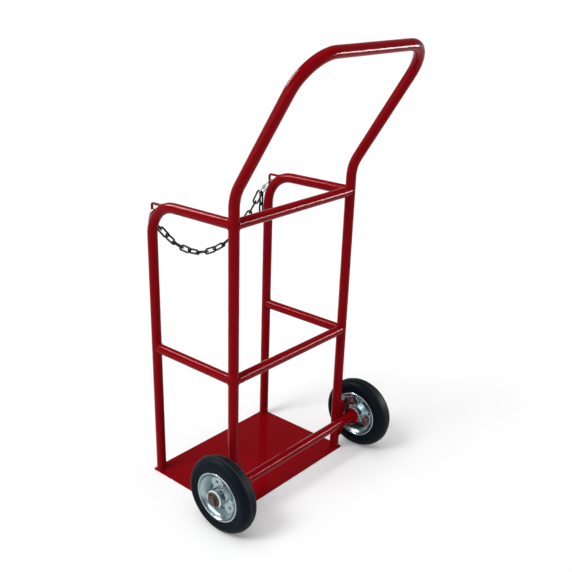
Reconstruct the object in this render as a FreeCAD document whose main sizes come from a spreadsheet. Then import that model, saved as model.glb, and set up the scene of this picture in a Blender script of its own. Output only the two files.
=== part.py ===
import FreeCAD, Part
import Sketcher
import math
import os

# Gas cylinder trolley: a welded frame of bent round tube on a flat base plate, with two wheels on
# an axle behind it and a chain across the open front.
# Millimetres. The floor is z = 0 and +Z is up. The origin is under the middle of the four posts.
# The open front, where a cylinder is walked in, faces -Y. The wheels and the handle are towards +Y.
# Left is +X, as for a person who stands behind the trolley and pushes it.

V = FreeCAD.Vector
DOC = FreeCAD.newDocument("gas_cylinder_trolley")
SHEET = DOC.addObject("Spreadsheet::Sheet", "Sizes")
PIECES = []

SIZES = [
    ("tube_diameter", 25.4, "outside of every frame tube"),
    ("tube_wall", 2.0, "wall of the frame tubes"),
    ("fit_gap", 0.15, "fit-up gap under a weld, and all round a light press fit"),
    ("frame_width", 420.0, "between the post axes, left to right"),
    ("frame_depth", 270.0, "between the post axes, front to rear"),
    ("rail_height", 747.0, "axis of the upper rails and the upper cross bar"),
    ("mid_height", 370.0, "axis of the middle rails and the middle cross bar"),
    ("front_bend_radius", 80.0, "centre line where a front post turns into its rail"),
    ("back_bend_height", 810.0, "where the straight lines of a rear post and its handle leg meet"),
    ("back_bend_radius", 95.0, "centre line of that bend"),
    ("handle_lean", 32.4, "degrees that the handle legs lean back from upright"),
    ("grip_height", 1104.0, "axis of the grip"),
    ("grip_bend_radius", 83.0, "centre line of the two grip corners"),
    ("plate_thickness", 3.0, "base plate"),
    ("plate_margin", 15.0, "base plate beyond the post axes"),
    ("plate_corner", 3.0, "radius of the plate's corners"),
    ("axle_diameter", 22.0, "solid axle bar"),
    ("axle_tube_wall", 1.6, "wall of the tube that holds the bar"),
    ("axle_overhang", 32.0, "that tube past the post axes at each end"),
    ("bracket_width", 22.0, "flat bar that carries the axle tube on a rear post"),
    ("bracket_thickness", 4.0, "that flat bar"),
    ("bracket_height", 108.0, "that flat bar"),
    ("bracket_taper", 14.0, "length of the tapered end of that flat bar"),
    ("bracket_nose", 12.0, "width of its tapered end"),
    ("collar_diameter", 46.0, "thrust collar on each end of the axle tube"),
    ("collar_thickness", 4.0, "that collar"),
    ("end_play", 0.3, "gap at each end of a hub"),
    ("running_clearance", 0.05, "radial gap between the axle bar and a bush"),
    ("wheel_diameter", 200.0, "over the tread"),
    ("tyre_width", 47.0, "widest part of the tyre"),
    ("tyre_shoulder", 18.0, "radius between tread and sidewall"),
    ("tyre_height", 35.0, "from the tread to the rolled edge of a wheel disc"),
    ("tyre_root", 8.0, "foot of the tyre below that edge"),
    ("rim_width", 44.0, "over the rolled edges of the two discs"),
    ("rim_bead", 2.2, "radius of the rolled edge"),
    ("disc_sheet", 1.8, "sheet of a wheel disc"),
    ("disc_web", 5.0, "outer face of a disc's floor from the middle of the wheel"),
    ("disc_wall", 19.0, "from the rolled edge in to where the sloping wall meets the floor"),
    ("lobe_count", 3.0, "raised lobes on a disc"),
    ("lobe_share", 0.52, "radius of a lobe's foot over the width of the floor"),
    ("lobe_shift", 2.0, "middle of a lobe outside the middle of the floor"),
    ("lobe_height", 6.0, "lobe above the floor"),
    ("lobe_draft", 22.0, "degrees that the lobe's side slopes"),
    ("left_lobe_turn", 8.0, "degrees forwards from upright to a lobe of the left wheel"),
    ("right_lobe_turn", 18.0, "degrees forwards from upright to a lobe of the right wheel"),
    ("hub_diameter", 46.0, "outside of the hub tube"),
    ("hub_wall", 3.0, "wall of the hub tube"),
    ("hub_length", 61.0, "over the flanges of the two bushes"),
    ("bush_flange", 2.0, "thickness of a bush's flange"),
    ("bush_length", 18.0, "sleeve of a bush inside the hub tube"),
    ("washer_diameter", 37.0, "washer outside each wheel"),
    ("washer_thickness", 2.5, "that washer"),
    ("pin_diameter", 4.0, "split pin that keeps a wheel on"),
    ("pin_length", 29.0, "from the eye's neck to the parting of the legs"),
    ("pin_eye", 4.0, "centre line radius of the eye"),
    ("pin_leg", 6.0, "parted end of each leg"),
    ("pin_turn", 45.0, "degrees that the pin's upper end leans forwards"),
    ("pin_splay", 28.0, "degrees that each leg is bent out"),
    ("axle_nose", 3.0, "axle bar past the split pin"),
    ("eye_rod", 6.5, "round rod of a chain eye"),
    ("eye_reach", 18.1, "middle of the rod's corner from the outside of the bend"),
    ("eye_turn", 44.4, "degrees from upright of that corner, seen from the middle of the bend"),
    ("eye_corner", 6.0, "centre line radius of the rod's corner"),
    ("link_wire", 5.0, "chain link"),
    ("link_length", 32.4, "inside length of a link"),
    ("link_width", 8.0, "inside width of a link"),
    ("link_play", 0.9, "slack where two links meet"),
    ("link_twist", -68.0, "degrees from one link to the next in the twisted part, evened to fit"),
    ("square_links", 5.0, "links at the right end that cross at right angles"),
    ("first_roll", 23.0, "degrees that the left end's link is turned about the chain"),
    ("last_roll", 41.0, "degrees that the right end's link is turned about the chain"),
    ("chain_slack", 1.14, "length of the links laid straight over the frame's width"),
    ("hanger_wire", 4.0, "screw link that holds each end of the chain"),
    ("hanger_over_tube", 1.85, "inside length of a screw link over the diameter of the tube it clears"),
    ("hanger_width", 16.0, "inside width of a screw link"),
    ("hanger_lean", 20.0, "degrees that a screw link leans inwards, seen from the front"),
    ("hanger_dip", 9.66, "degrees that it hangs inside the slope of the bend below its upper end"),
    ("hanger_slack", 1.5, "gap between the upper end of a screw link and the rod of its eye"),
    ("hanger_lift", 0.9, "gap between that end and the bent tube below it"),
    ("hanger_play", 0.9, "gap between the lower end of a screw link and a link on it"),
    ("chain_seat", 52.0, "degrees from that end's middle to the chain, towards the bay"),
    ("tail_seat", 32.0, "degrees from that end's middle to the spare links, towards the post"),
    ("nut_flats", 7.0, "across the flats of a screw link's sleeve nut"),
    ("nut_length", 11.0, "that nut"),
    ("tail_links", 2.0, "spare links that hang from the right screw link"),
    ("tail_roll", 18.0, "degrees that the first spare link is turned about its length"),
    ("tail_twist", 70.0, "degrees from one spare link to the next"),
]

HALF_WIDTH = "Sizes.frame_width / 2"
HALF_DEPTH = "Sizes.frame_depth / 2"
TUBE = "Sizes.tube_diameter / 2"
BORE = "(Sizes.tube_diameter / 2 - Sizes.tube_wall)"
COPE = "(Sizes.tube_diameter / 2 + Sizes.fit_gap)"
AXLE_HEIGHT = "Sizes.wheel_diameter / 2"
AXLE_TUBE_END = "(Sizes.frame_width / 2 + Sizes.axle_overhang)"
AXLE_BACK = f"({HALF_DEPTH} + Sizes.tube_diameter + 2 * Sizes.fit_gap + Sizes.bracket_thickness)"
HUB_START = f"({AXLE_TUBE_END} + Sizes.collar_thickness + Sizes.fit_gap + Sizes.end_play)"
WHEEL_MIDDLE = f"({HUB_START} + Sizes.hub_length / 2)"
HUB_END = f"({HUB_START} + Sizes.hub_length)"
PIN_PLACE = (f"({HUB_END} + Sizes.end_play + Sizes.washer_thickness + Sizes.fit_gap"
             " + Sizes.pin_diameter / 2)")
RIM = "(Sizes.wheel_diameter / 2 - Sizes.tyre_height)"
BEAD_SIDE = "(Sizes.rim_width / 2 - Sizes.rim_bead)"
BEAD_RADIUS = f"({RIM} - Sizes.rim_bead)"
DISC_FLOOR = f"({RIM} - Sizes.disc_wall)"
HANGER_LENGTH = "(Sizes.hanger_over_tube * Sizes.tube_diameter)"


def fill_sheet():
    for row, (alias, number, note) in enumerate(SIZES, 1):
        SHEET.set(f"A{row}", alias)
        SHEET.set(f"B{row}", str(number))
        SHEET.set(f"C{row}", note)
        SHEET.setAlias(f"B{row}", alias)
    DOC.recompute()


def size(alias):
    return float(SHEET.get(alias))


def worked(text):
    """The value of a sum of sheet sizes."""
    return float(SHEET.evalExpression(text))


def keep(item, name):
    """Makes an object one of the trolley's pieces."""
    item.Label = name
    PIECES.append(item)
    return item


def place(item, **expressions):
    for axis, text in expressions.items():
        item.setExpression(f"Placement.Base.{axis}", text)
    return item


def turned(item, axis, degrees):
    item.Placement = FreeCAD.Placement(item.Placement.Base, FreeCAD.Rotation(axis, degrees))
    return item


def new_body(name):
    return DOC.addObject("PartDesign::Body", name + "_body")


def new_sketch(body, name, plane, tilt=0, **offsets):
    """A sketch on one of the body's own planes, moved by expressions and tilted about its first axis."""
    sketch = body.newObject("Sketcher::SketchObject", body.Name + "_" + name)
    support = next(item for item in body.Origin.OriginFeatures if item.Role == plane)
    sketch.AttachmentSupport = (support, "")
    sketch.MapMode = "FlatFace"
    if tilt:
        sketch.AttachmentOffset = FreeCAD.Placement(V(), FreeCAD.Rotation(V(1, 0, 0), worked(tilt)))
        sketch.setExpression("AttachmentOffset.Rotation.Angle", tilt)
    for axis, text in offsets.items():
        sketch.setExpression(f"AttachmentOffset.Base.{axis}", text)
    return sketch


def bind(sketch, constraint, text):
    index = sketch.addConstraint(constraint)
    sketch.setExpression(f"Constraints[{index}]", text)


def pin(sketch, geometry, point, corner):
    """Ties a point of a sketch to two sums of sheet sizes."""
    for kind, text in zip(("DistanceX", "DistanceY"), corner):
        bind(sketch, Sketcher.Constraint(kind, -1, 1, geometry, point, worked(text)), text)


def circle(sketch, radius, x="0", y="0"):
    middle = V(worked(x), worked(y), 0)
    index = sketch.addGeometry(Part.Circle(middle, V(0, 0, 1), worked(radius)), False)
    pin(sketch, index, 3, (x, y))
    bind(sketch, Sketcher.Constraint("Radius", index, worked(radius)), radius)


def arc_between(here, there, middle, left_turn):
    """An arc about middle, and which of its ends is its start."""
    first, last = (here, there) if left_turn else (there, here)
    angles = [math.atan2(end.y - middle.y, end.x - middle.x) for end in (first, last)]
    ring = Part.Circle(middle, V(0, 0, 1), middle.distanceToPoint(here))
    return Part.ArcOfCircle(ring, *angles), (1, 2) if left_turn else (2, 1)


def outline(sketch, start, steps, closed=False):
    """Draws lines and arcs from corner to corner, every corner tied to the sheet.

    A line is its end corner. An arc is its end corner, its middle and whether it turns left.
    """
    here = V(worked(start[0]), worked(start[1]), 0)
    first = None
    last = None
    for number, (end, *bend) in enumerate(steps):
        there = V(worked(end[0]), worked(end[1]), 0)
        if bend:
            centre, left_turn = bend
            middle = V(worked(centre[0]), worked(centre[1]), 0)
            shape, (begin, finish) = arc_between(here, there, middle, left_turn)
        else:
            shape = Part.LineSegment(here, there)
            begin, finish = 1, 2
        index = sketch.addGeometry(shape, False)
        if bend:
            bind(sketch, Sketcher.Constraint("DistanceX", -1, 1, index, 3, middle.x), centre[0])
        if last:
            sketch.addConstraint(Sketcher.Constraint("Coincident", *last, index, begin))
        else:
            first = (index, begin)
            pin(sketch, index, begin, start)
        if closed and number == len(steps) - 1:
            sketch.addConstraint(Sketcher.Constraint("Coincident", index, finish, *first))
        else:
            pin(sketch, index, finish, end)
        last = (index, finish)
        here = there


def polygon(sketch, corners):
    outline(sketch, corners[0], [(corner,) for corner in corners[1:] + corners[:1]], closed=True)


def pad(body, sketch, length, both_ways=False):
    feature = body.newObject("PartDesign::Pad", sketch.Name + "_pad")
    feature.Profile = sketch
    feature.SideType = "Symmetric" if both_ways else "One side"
    feature.setExpression("Length", length)
    return feature


def pocket(body, sketch, length, both_ways=False, reverse=False):
    """Cuts a sketch out of a body and stops if that takes nothing away."""
    DOC.recompute()
    before = body.Shape.Volume
    feature = body.newObject("PartDesign::Pocket", sketch.Name + "_cut")
    feature.Profile = sketch
    feature.SideType = "Symmetric" if both_ways else "One side"
    feature.Reversed = reverse
    feature.setExpression("Length", length)
    DOC.recompute()
    if body.Shape.Volume >= before:
        raise RuntimeError(f"{sketch.Name} cuts nothing")
    return feature


def revolve(body, sketch):
    feature = body.newObject("PartDesign::Revolution", sketch.Name + "_turn")
    feature.Profile = sketch
    feature.ReferenceAxis = (sketch, ["H_Axis"])
    feature.Angle = 360
    return feature


def pipe(body, section, spine):
    feature = body.newObject("PartDesign::AdditivePipe", section.Name + "_pipe")
    feature.Profile = section
    feature.Spine = spine
    return feature


def tube_section(sketch, x="0", y="0"):
    circle(sketch, TUBE, x, y)
    circle(sketch, BORE, x, y)


def cylinder(name, radius, height, axis, degrees):
    item = DOC.addObject("Part::Cylinder", name)
    item.setExpression("Radius", radius)
    item.setExpression("Height", height)
    return turned(item, axis, degrees)


def cut(name, base, tools):
    """Takes one or more solids out of another."""
    item = DOC.addObject("Part::Cut", name + "_cut")
    item.Base = base
    item.Tool = tools[0] if len(tools) == 1 else joined(name + "_tools", tools)
    return item


def joined(name, shapes):
    item = DOC.addObject("Part::MultiFuse", name)
    item.Shapes = shapes
    return item


def ring(name, outer, inner, length, middle):
    """A plain ring on the axle's line, with its middle at the given distance to the left."""
    body = new_body(name)
    face = new_sketch(body, "face", "YZ_Plane")
    circle(face, outer)
    circle(face, inner)
    pad(body, face, length, both_ways=True)
    place(keep(body, name), x=middle, y=AXLE_BACK, z=AXLE_HEIGHT)


def base_plate():
    body = new_body("base_plate")
    face = new_sketch(body, "outline", "XY_Plane")
    x = f"({HALF_WIDTH} + Sizes.plate_margin)"
    y = f"({HALF_DEPTH} + Sizes.plate_margin)"
    polygon(face, [(f"-{x}", f"-{y}"), (x, f"-{y}"), (x, y), (f"-{x}", y)])
    plate = pad(body, face, "Sizes.plate_thickness")
    DOC.recompute()
    upright = [f"Edge{i}" for i, edge in enumerate(plate.Shape.Edges, 1)
               if abs(edge.tangentAt(edge.FirstParameter).z) > 0.9]
    corners = body.newObject("PartDesign::Fillet", "plate_corners")
    corners.Base = (plate, upright)
    corners.setExpression("Radius", "Sizes.plate_corner")
    keep(body, "base_plate")


def rear_hoop():
    """One tube: up a rear post, back along the handle, over the grip and down the other side."""
    body = new_body("rear_hoop")
    leg = "((Sizes.grip_height - Sizes.back_bend_height) / cos(Sizes.handle_lean))"
    tangent = "(Sizes.back_bend_radius * tan(Sizes.handle_lean / 2))"
    corner = f"({leg} - Sizes.grip_bend_radius)"
    spine = new_sketch(body, "post_line", "YZ_Plane", z=HALF_WIDTH)
    foot = (HALF_DEPTH, "Sizes.plate_thickness")
    bend_start = (HALF_DEPTH, f"Sizes.back_bend_height - {tangent}")
    bend_end = (f"{HALF_DEPTH} + {tangent} * sin(Sizes.handle_lean)",
                f"Sizes.back_bend_height + {tangent} * cos(Sizes.handle_lean)")
    bend_middle = (f"{HALF_DEPTH} + Sizes.back_bend_radius", bend_start[1])
    leg_end = (f"{HALF_DEPTH} + {corner} * sin(Sizes.handle_lean)",
               f"Sizes.back_bend_height + {corner} * cos(Sizes.handle_lean)")
    outline(spine, foot, [(bend_start,), (bend_end, bend_middle, False), (leg_end,)])
    section = new_sketch(body, "post_section", "XY_Plane", z="Sizes.plate_thickness")
    tube_section(section, HALF_WIDTH, HALF_DEPTH)
    post = pipe(body, section, spine)
    over = new_sketch(body, "grip_line", "XZ_Plane", tilt="-Sizes.handle_lean",
                      y="Sizes.back_bend_height", z=f"-({HALF_DEPTH})")
    inset = f"({HALF_WIDTH} - Sizes.grip_bend_radius)"
    outline(over, (HALF_WIDTH, corner), [((inset, leg), (inset, corner), True), (("0", leg),)])
    section = new_sketch(body, "grip_section", "XY_Plane", tilt="-Sizes.handle_lean",
                         y=leg_end[0], z=leg_end[1])
    tube_section(section, HALF_WIDTH)
    grip = pipe(body, section, over)
    other_half = body.newObject("PartDesign::Mirrored", "hoop_other_half")
    other_half.Originals = [post, grip]
    middle = next(item for item in body.Origin.OriginFeatures if item.Role == "YZ_Plane")
    other_half.MirrorPlane = (middle, [""])
    body.Tip = other_half
    keep(body, "rear_hoop")


def front_post(name, side):
    """One tube: up a front post and back along the upper rail, coped against the rear post."""
    body = new_body(name)
    radius = "Sizes.front_bend_radius"
    spine = new_sketch(body, "line", "YZ_Plane")
    bend_start = ("0", f"Sizes.rail_height - {radius}")
    bend_end = (radius, "Sizes.rail_height")
    outline(spine, ("0", "Sizes.plate_thickness"),
            [(bend_start,), (bend_end, (radius, bend_start[1]), False),
             (("Sizes.frame_depth", "Sizes.rail_height"),)])
    section = new_sketch(body, "section", "XY_Plane", z="Sizes.plate_thickness")
    tube_section(section)
    pipe(body, section, spine)
    notch = new_sketch(body, "notch", "XY_Plane", z="Sizes.rail_height")
    circle(notch, COPE, "0", "Sizes.frame_depth")
    pocket(body, notch, "2 * Sizes.tube_diameter", both_ways=True)
    place(keep(body, name), x=f"{side} * {HALF_WIDTH}", y=f"-{HALF_DEPTH}")


def mid_rail(name, side):
    """A straight tube from front post to rear post, coped at both ends."""
    body = new_body(name)
    section = new_sketch(body, "section", "XZ_Plane")
    tube_section(section)
    pad(body, section, "Sizes.frame_depth", both_ways=True)
    notch = new_sketch(body, "notches", "XY_Plane")
    circle(notch, COPE, "0", HALF_DEPTH)
    circle(notch, COPE, "0", f"-{HALF_DEPTH}")
    pocket(body, notch, "2 * Sizes.tube_diameter", both_ways=True)
    place(keep(body, name), x=f"{side} * {HALF_WIDTH}", z="Sizes.mid_height")


def cross_bar(name, height):
    """A straight tube between the rear posts, coped round each post and each side rail's end."""
    body = new_body(name)
    section = new_sketch(body, "section", "YZ_Plane")
    tube_section(section)
    pad(body, section, "Sizes.frame_width", both_ways=True)
    notch = new_sketch(body, "post_notches", "XY_Plane")
    circle(notch, COPE, HALF_WIDTH)
    circle(notch, COPE, f"-{HALF_WIDTH}")
    pocket(body, notch, "2 * Sizes.tube_diameter", both_ways=True)
    notch = new_sketch(body, "rail_notches", "XZ_Plane")
    circle(notch, COPE, HALF_WIDTH)
    circle(notch, COPE, f"-{HALF_WIDTH}")
    pocket(body, notch, "2 * Sizes.tube_diameter", reverse=True)
    place(keep(body, name), y=HALF_DEPTH, z=height)


def eye_corner():
    """The corner of a chain eye's rod, as sums from a front post's axis and from the floor."""
    reach = f"(Sizes.front_bend_radius + {TUBE} + Sizes.eye_reach)"
    back = f"(Sizes.front_bend_radius - {reach} * sin(Sizes.eye_turn))"
    up = f"(Sizes.rail_height - Sizes.front_bend_radius + {reach} * cos(Sizes.eye_turn))"
    return back, up


def chain_eye(name, side):
    """A bent rod over the outside of the front bend, cut to sit on the tube."""
    back, up = eye_corner()
    body = new_body(name)
    foot = (back, f"{up} - Sizes.tube_diameter - Sizes.eye_reach")
    turn_start = (back, f"{up} - Sizes.eye_corner")
    turn_end = (f"{back} + Sizes.eye_corner", up)
    far_end = (f"{back} + Sizes.tube_diameter + Sizes.eye_reach", up)
    spine = new_sketch(body, "line", "YZ_Plane")
    outline(spine, foot, [(turn_start,), (turn_end, (turn_end[0], turn_start[1]), False), (far_end,)])
    section = new_sketch(body, "section", "XY_Plane", z=foot[1])
    circle(section, "Sizes.eye_rod / 2", "0", back)
    pipe(body, section, spine)
    place(body, x=f"{side} * {HALF_WIDTH}", y=f"-{HALF_DEPTH}")
    bend = DOC.addObject("Part::Torus", name + "_seat")
    bend.setExpression("Radius1", "Sizes.front_bend_radius")
    bend.setExpression("Radius2", COPE)
    turned(bend, V(0, 1, 0), 90)
    place(bend, x=f"{side} * {HALF_WIDTH}", y=f"Sizes.front_bend_radius - {HALF_DEPTH}",
          z="Sizes.rail_height - Sizes.front_bend_radius")
    keep(cut(name, body, [bend]), name)


def axle_bracket(name, side):
    """A flat bar on the back of a rear post, tapered at its lower end."""
    body = new_body(name)
    face = new_sketch(body, "outline", "XZ_Plane")
    half = "Sizes.bracket_width / 2"
    nose = "Sizes.bracket_nose / 2"
    top = f"({AXLE_HEIGHT} + Sizes.bracket_height / 2)"
    low = f"({AXLE_HEIGHT} - Sizes.bracket_height / 2)"
    polygon(face, [(f"-{nose}", low), (nose, low), (half, f"{low} + Sizes.bracket_taper"), (half, top),
                   (f"-{half}", top), (f"-{half}", f"{low} + Sizes.bracket_taper")])
    pad(body, face, "Sizes.bracket_thickness").Reversed = True
    place(keep(body, name), x=f"{side} * {HALF_WIDTH}", y=f"{HALF_DEPTH} + {COPE}")


def axle_shaft():
    """A solid bar right through the axle tube and both hubs, drilled for the split pins."""
    length = f"2 * ({PIN_PLACE} + Sizes.pin_diameter / 2 + Sizes.axle_nose)"
    bar = cylinder("axle_bar", "Sizes.axle_diameter / 2", length, V(0, 1, 0), 90)
    place(bar, x=f"-({length}) / 2", y=AXLE_BACK, z=AXLE_HEIGHT)
    holes = []
    for word, side in (("left", 1), ("right", -1)):
        hole = cylinder(f"{word}_pin_hole", "Sizes.pin_diameter / 2 + Sizes.fit_gap",
                        "2 * Sizes.axle_diameter", V(1, 0, 0), size("pin_turn"))
        back = f"{AXLE_BACK} + Sizes.axle_diameter * sin(Sizes.pin_turn)"
        low = f"{AXLE_HEIGHT} - Sizes.axle_diameter * cos(Sizes.pin_turn)"
        holes.append(place(hole, x=f"{side} * {PIN_PLACE}", y=back, z=low))
    keep(cut("axle_shaft", bar, holes), "axle_shaft")


def split_pin(name, side):
    """A pin with an eye at its lower rear end and two parted legs at its upper front end."""
    radius = "Sizes.pin_diameter / 2"
    lean = FreeCAD.Rotation(V(1, 0, 0), 180 + size("pin_turn"))
    half = size("pin_length") / 2
    stem = cylinder(name + "_stem", radius, "Sizes.pin_length", V(1, 0, 0), 180 + size("pin_turn"))
    eye = DOC.addObject("Part::Torus", name + "_eye")
    eye.setExpression("Radius1", "Sizes.pin_eye")
    eye.setExpression("Radius2", f"0.8 * {radius}")
    middle = V(side * worked(PIN_PLACE), worked(AXLE_BACK), worked(AXLE_HEIGHT))
    stem.Placement.Base = middle - lean.multVec(V(0, 0, half))
    eye.Placement = FreeCAD.Placement(middle + lean.multVec(V(0, 0, half + size("pin_eye"))),
                                      lean.multiply(FreeCAD.Rotation(V(0, 1, 0), 90)))
    legs = []
    for word, way in (("front", 1), ("back", -1)):
        leg = cylinder(f"{name}_{word}_leg", f"0.6 * {radius}", "Sizes.pin_leg + Sizes.pin_diameter",
                       V(1, 0, 0), 0)
        bent = lean.multiply(FreeCAD.Rotation(V(1, 0, 0), 180 + way * size("pin_splay")))
        start = middle - lean.multVec(V(0, 0, half - size("pin_diameter") / 2))
        leg.Placement = FreeCAD.Placement(start, bent)
        legs.append(leg)
    keep(joined(name + "_pieces", [stem, eye] + legs), name)


def tyre(word, where):
    body = new_body(f"{word}_tyre")
    half = "Sizes.tyre_width / 2"
    top = "Sizes.wheel_diameter / 2"
    tread = f"({half} - Sizes.tyre_shoulder)"
    shoulder = f"({top} - Sizes.tyre_shoulder)"
    seat = f"({RIM} + 3 * Sizes.fit_gap)"
    neck = f"({BEAD_SIDE} - Sizes.rim_bead - 3 * Sizes.fit_gap)"
    foot = f"({RIM} - Sizes.tyre_root)"
    slope = f"(({BEAD_SIDE} - Sizes.disc_web) / ({BEAD_RADIUS} - {DISC_FLOOR}))"
    toe = f"({neck} - Sizes.disc_sheet - {slope} * ({BEAD_RADIUS} - {foot}))"
    face = new_sketch(body, "profile", "XY_Plane")
    outline(face, (f"-{tread}", top), [
        ((tread, top),),
        ((half, shoulder), (tread, shoulder), False),
        ((half, seat),),
        ((neck, seat),),
        ((neck, BEAD_RADIUS),),
        ((toe, foot),),
        ((f"-{toe}", foot),),
        ((f"-{neck}", BEAD_RADIUS),),
        ((f"-{neck}", seat),),
        ((f"-{half}", seat),),
        ((f"-{half}", shoulder),),
        ((f"-{tread}", top), (f"-{tread}", shoulder), False)], closed=True)
    revolve(body, face)
    place(keep(body, f"{word}_tyre"), **where)


def wheel_disc(name, outward, turn, where):
    """A pressed dish with a rolled edge and raised lobes, open towards outward."""
    body = new_body(name)
    web = "Sizes.disc_web"
    inner = "(Sizes.hub_diameter / 2 + Sizes.fit_gap)"
    back = f"({web} - Sizes.disc_sheet)"
    face = new_sketch(body, "profile", "XY_Plane")
    outline(face, (web, inner), [
        ((web, DISC_FLOOR),),
        ((BEAD_SIDE, f"{BEAD_RADIUS} - Sizes.rim_bead"),),
        ((f"{BEAD_SIDE} - Sizes.rim_bead", BEAD_RADIUS), (BEAD_SIDE, BEAD_RADIUS), True),
        ((back, f"{DISC_FLOOR} + 0.3 * Sizes.disc_sheet"),),
        ((back, inner),),
        ((web, inner),)], closed=True)
    revolve(body, face)
    face = new_sketch(body, "lobe", "YZ_Plane", z=f"{web} - Sizes.disc_sheet / 2")
    reach = f"(({DISC_FLOOR} + Sizes.hub_diameter / 2) / 2 + Sizes.lobe_shift)"
    circle(face, f"Sizes.lobe_share * ({DISC_FLOOR} - Sizes.hub_diameter / 2)",
           f"{-outward} * {reach} * sin({turn})", f"{reach} * cos({turn})")
    lobe = pad(body, face, "Sizes.lobe_height + Sizes.disc_sheet / 2")
    lobe.setExpression("TaperAngle", "-Sizes.lobe_draft")
    round_the_hub = body.newObject("PartDesign::PolarPattern", name + "_lobes")
    round_the_hub.Originals = [lobe]
    line = next(item for item in body.Origin.OriginFeatures if item.Role == "X_Axis")
    round_the_hub.Axis = (line, [""])
    round_the_hub.Angle = 360
    round_the_hub.setExpression("Occurrences", "Sizes.lobe_count")
    body.Tip = round_the_hub
    if outward < 0:
        turned(body, V(0, 0, 1), 180)
    place(keep(body, name), **where)


def hub_tube(word, where):
    body = new_body(f"{word}_hub_tube")
    face = new_sketch(body, "face", "YZ_Plane")
    circle(face, "Sizes.hub_diameter / 2")
    circle(face, "Sizes.hub_diameter / 2 - Sizes.hub_wall")
    pad(body, face, "Sizes.hub_length - 2 * Sizes.bush_flange - 2 * Sizes.fit_gap", both_ways=True)
    place(keep(body, f"{word}_hub_tube"), **where)


def bush(name, outward, where):
    """A flanged plain bush, pressed into one end of the hub tube."""
    body = new_body(name)
    bore = "(Sizes.axle_diameter / 2 + Sizes.running_clearance)"
    flange = "Sizes.hub_diameter / 2"
    sleeve = "(Sizes.hub_diameter / 2 - Sizes.hub_wall - Sizes.fit_gap)"
    end = "Sizes.hub_length / 2"
    step = f"({end} - Sizes.bush_flange)"
    face = new_sketch(body, "profile", "XY_Plane")
    polygon(face, [(end, bore), (end, flange), (step, flange), (step, sleeve),
                   (f"{step} - Sizes.bush_length", sleeve), (f"{step} - Sizes.bush_length", bore)])
    revolve(body, face)
    if outward < 0:
        turned(body, V(0, 0, 1), 180)
    place(keep(body, name), **where)


def wheel(word, side):
    where = {"x": f"{side} * {WHEEL_MIDDLE}", "y": AXLE_BACK, "z": AXLE_HEIGHT}
    tyre(word, where)
    turn = f"Sizes.{word}_lobe_turn"
    wheel_disc(f"{word}_outer_disc", side, turn, where)
    wheel_disc(f"{word}_inner_disc", -side, turn, where)
    hub_tube(word, where)
    bush(f"{word}_outer_bush", side, where)
    bush(f"{word}_inner_bush", -side, where)


def axle():
    ring("axle_tube", TUBE, f"{TUBE} - Sizes.axle_tube_wall", f"2 * {AXLE_TUBE_END}", "0")
    axle_shaft()
    bore = "Sizes.axle_diameter / 2 + Sizes.fit_gap"
    collar = f"({AXLE_TUBE_END} + Sizes.fit_gap + Sizes.collar_thickness / 2)"
    washer = f"({HUB_END} + Sizes.end_play + Sizes.washer_thickness / 2)"
    for word, side in (("left", 1), ("right", -1)):
        axle_bracket(f"{word}_axle_bracket", side)
        ring(f"{word}_axle_collar", "Sizes.collar_diameter / 2", bore, "Sizes.collar_thickness",
             f"{side} * {collar}")
        ring(f"{word}_axle_washer", "Sizes.washer_diameter / 2", bore, "Sizes.washer_thickness",
             f"{side} * {washer}")
        split_pin(f"{word}_split_pin", side)


def long_link(name, wire, length, width, pose):
    """A closed link of round wire, long in its own X, with its inside length and width given."""
    body = new_body(name)
    across = f"({width} + {wire}) / 2"
    straight = f"({length} - {width}) / 2"
    spine = new_sketch(body, "line", "XY_Plane")
    outline(spine, (f"-{straight}", f"-{across}"), [
        ((straight, f"-{across}"),),
        ((straight, across), (straight, "0"), True),
        ((f"-{straight}", across),),
        ((f"-{straight}", f"-{across}"), (f"-{straight}", "0"), True)], closed=True)
    section = new_sketch(body, "section", "YZ_Plane", z=f"-{straight}")
    circle(section, f"{wire} / 2", f"-{across}")
    pipe(body, section, spine)
    body.Placement = pose
    return keep(body, name)


def facing(long, wide):
    """The turn that lays a link along one direction with its width near another."""
    long = V(long).normalize()
    wide = (wide - long * wide.dot(long)).normalize()
    return FreeCAD.Rotation(long, wide, long.cross(wide), "XYZ")


def hanger(word, side):
    """A screw link from behind the upright rod of a chain eye down over the bend to the chain.

    Gives the middle of its lower curve, the way it hangs and the way across it towards the bay.
    """
    back, _ = eye_corner()
    wire = size("hanger_wire")
    bend = size("front_bend_radius")
    inset = bend - worked(back) - size("eye_rod") / 2 - wire / 2 - size("hanger_slack")
    rise = math.sqrt((bend + worked(TUBE) + wire / 2 + size("hanger_lift")) ** 2 - inset ** 2)
    top = V(side * worked(HALF_WIDTH), bend - inset - worked(HALF_DEPTH), size("rail_height") - bend + rise)
    pitch = math.atan2(rise, inset) - math.radians(size("hanger_dip"))
    lean = math.radians(size("hanger_lean"))
    along = V(-side * math.sin(lean) * math.cos(pitch), -math.sin(pitch), -math.cos(lean) * math.cos(pitch))
    turn = facing(along, V(-side, 0, 0))
    reach = wire + worked(HANGER_LENGTH)
    pose = FreeCAD.Placement(top + along * (reach / 2), turn)
    long_link(f"{word}_screw_link", "Sizes.hanger_wire", HANGER_LENGTH, "Sizes.hanger_width", pose)
    sleeve_nut(f"{word}_sleeve_nut", pose)
    curve = (size("hanger_width") + wire) / 2
    return top + along * (reach - curve), along, turn.multVec(V(0, 1, 0))


def held(hook, seat, pull):
    """The inner end of a link that a screw link holds, seat degrees round towards the bay."""
    middle, along, across = hook
    angle = math.radians(seat)
    outward = along * math.cos(angle) + across * math.sin(angle)
    curve = (size("hanger_width") + size("hanger_wire")) / 2
    press = (outward + pull).normalize()
    return middle + outward * curve - press * (size("hanger_wire") / 2 + size("hanger_play"))


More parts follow.
